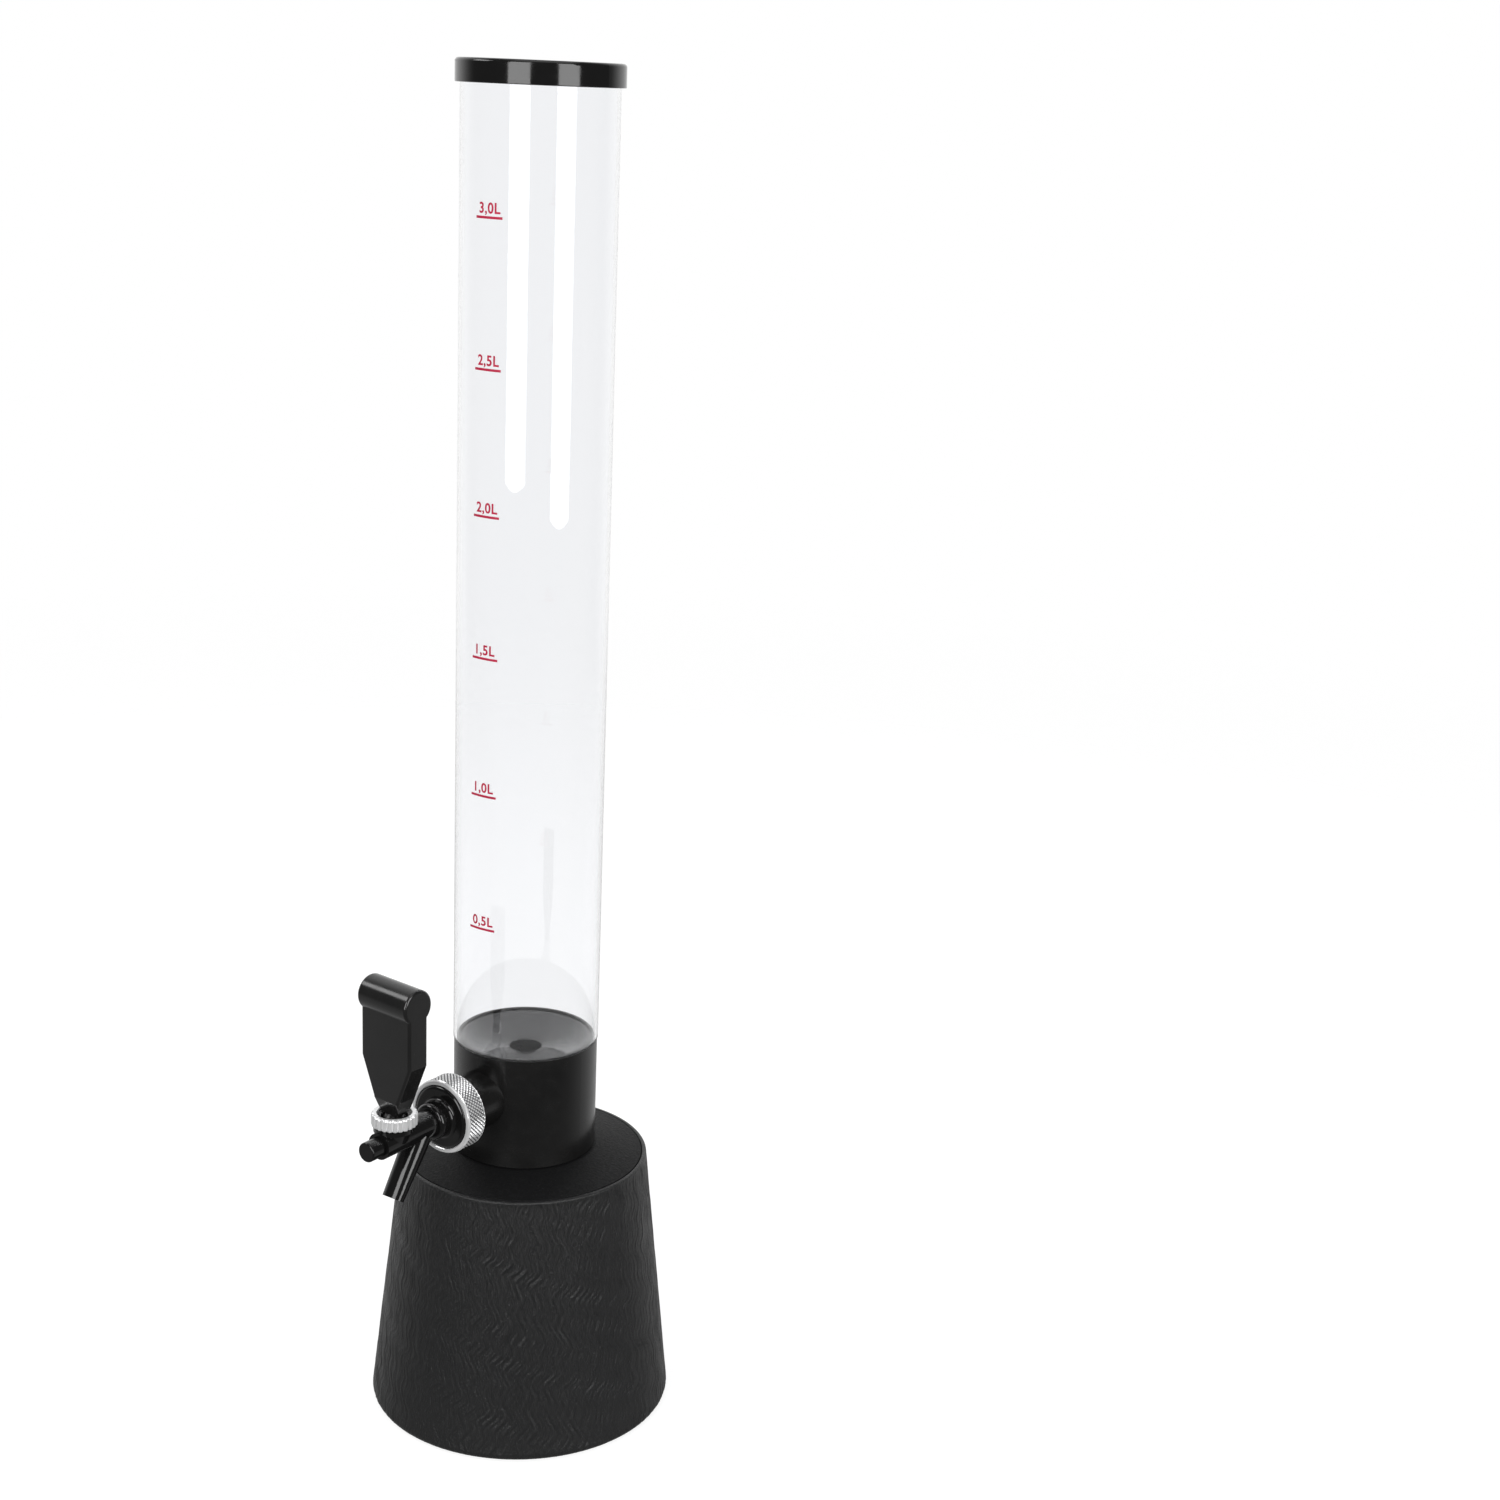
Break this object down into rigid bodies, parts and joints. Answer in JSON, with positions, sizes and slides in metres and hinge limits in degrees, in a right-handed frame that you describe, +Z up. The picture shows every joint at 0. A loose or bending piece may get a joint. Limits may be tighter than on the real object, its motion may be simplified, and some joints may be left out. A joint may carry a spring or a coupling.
{
  "type": "drink tower dispenser",
  "caption": "Table-top drink tower: clear tube on a black cup and tapering textured base, push-on cap, one tap with a T-handle, knurled ring nut and slanted spout.",
  "frame": {"origin": "on the tower's axis, at the face the base stands on", "axes": "+Z up along the tube; the tap points to -Y; +X is to the right of someone facing the tap"},
  "size_m": [0.1928, 0.2414, 0.8383],
  "materials": {
    "base_plastic": "bark-like moulded texture",
    "black_satin": "satin",
    "black_gloss": "polished",
    "white_plastic": "smooth",
    "clear": "clear, polished",
    "rubber": "matte",
    "chrome": "bright plated",
    "steel": "zinc plated",
    "brass": "turned"
  },
  "bodies": {
    "tower": {"base_shell": "base_plastic", "base_deck_plate": "base_plastic", "base_bottom_cover": "black_satin", "foot_pad": "rubber", "cover_screws": "steel", "tower_cup": "black_satin", "cup_ring_nut": "black_satin", "cup_nut_washer": "rubber", "floor_dish": "black_gloss", "tube_gasket": "rubber", "tube": "clear", "tap_body": "black_gloss", "tap_outer_gasket": "rubber", "tap_inner_gasket": "rubber", "tap_lock_nut": "black_satin", "front_plug": "black_gloss", "ball_seat_washer": "white_plastic", "ball_retainer": "black_satin"},
    "cap": {"cap": "black_gloss", "cap_gasket": "rubber"},
    "ring_nut": {"ring_nut": "chrome"},
    "bonnet_nut": {"bonnet_nut": "chrome"},
    "lever": {"lever": "black_satin", "handle": "black_gloss", "handle_insert": "brass"},
    "valve": {"valve_shaft": "white_plastic", "valve_washer": "rubber", "valve_washer_screw": "steel"}
  },
  "joints": [
    {"name": "handle_tilt", "type": "hinge", "parent": "tower", "child": "lever", "pos_m": [0, -0.1207, 0.23], "axis": [1, 0, 0], "range_deg": [0, 16]},
    {"name": "valve_slide", "type": "slide", "parent": "tower", "child": "valve", "axis": [0, 1, 0], "range_m": [0, 0.00296]},
    {"name": "cap_lift", "type": "slide", "parent": "tower", "child": "cap", "axis": [0, 0, 1], "range_m": [0, 0.06]},
    {"name": "ring_nut_turn", "type": "hinge", "parent": "tower", "child": "ring_nut", "pos_m": [0, -0.072, 0.2194], "axis": [0, 1, 0], "continuous": true},
    {"name": "bonnet_nut_turn", "type": "hinge", "parent": "tower", "child": "bonnet_nut", "pos_m": [0, -0.1207, 0.2333], "axis": [0, 0, 1], "continuous": true}
  ],
  "couplings": [
    {"joint": "valve_slide", "follows": "handle_tilt", "m_per_rad": 0.0106}
  ]
}
